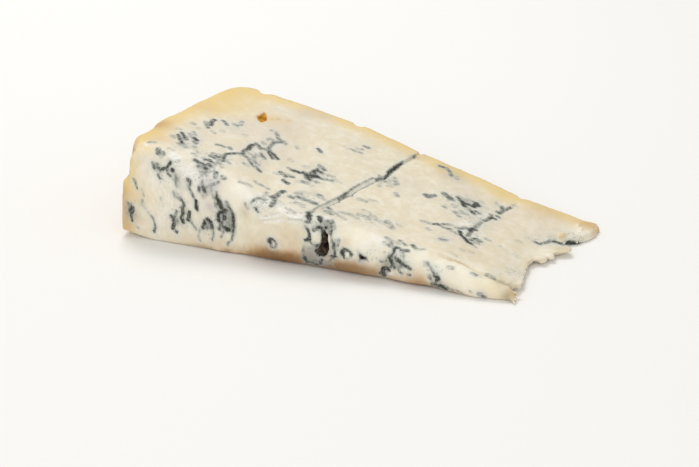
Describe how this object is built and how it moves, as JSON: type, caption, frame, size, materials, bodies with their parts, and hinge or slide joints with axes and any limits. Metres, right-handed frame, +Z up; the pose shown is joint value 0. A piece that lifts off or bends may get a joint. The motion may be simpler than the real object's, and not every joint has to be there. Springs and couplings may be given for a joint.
{
  "type": "gorgonzola cheese wedge",
  "caption": "Low wedge of blue-veined gorgonzola lying on a cut side: thick outer-rind end, sloping cut face with needle channels, mould cavities in front, thin torn tip.",
  "frame": {"origin": "middle of the footprint's bounding box, on the surface the wedge rests on", "axes": "+X from the outer rind to the torn tip, +Y from the front cut to the wheel's flat rind, +Z up"},
  "size_m": [0.161, 0.0776, 0.0351],
  "materials": {
    "paste": "moist, satin, cream with blue-grey veins"
  },
  "bodies": {
    "root": {"wedge": "paste"}
  },
  "joints": []
}
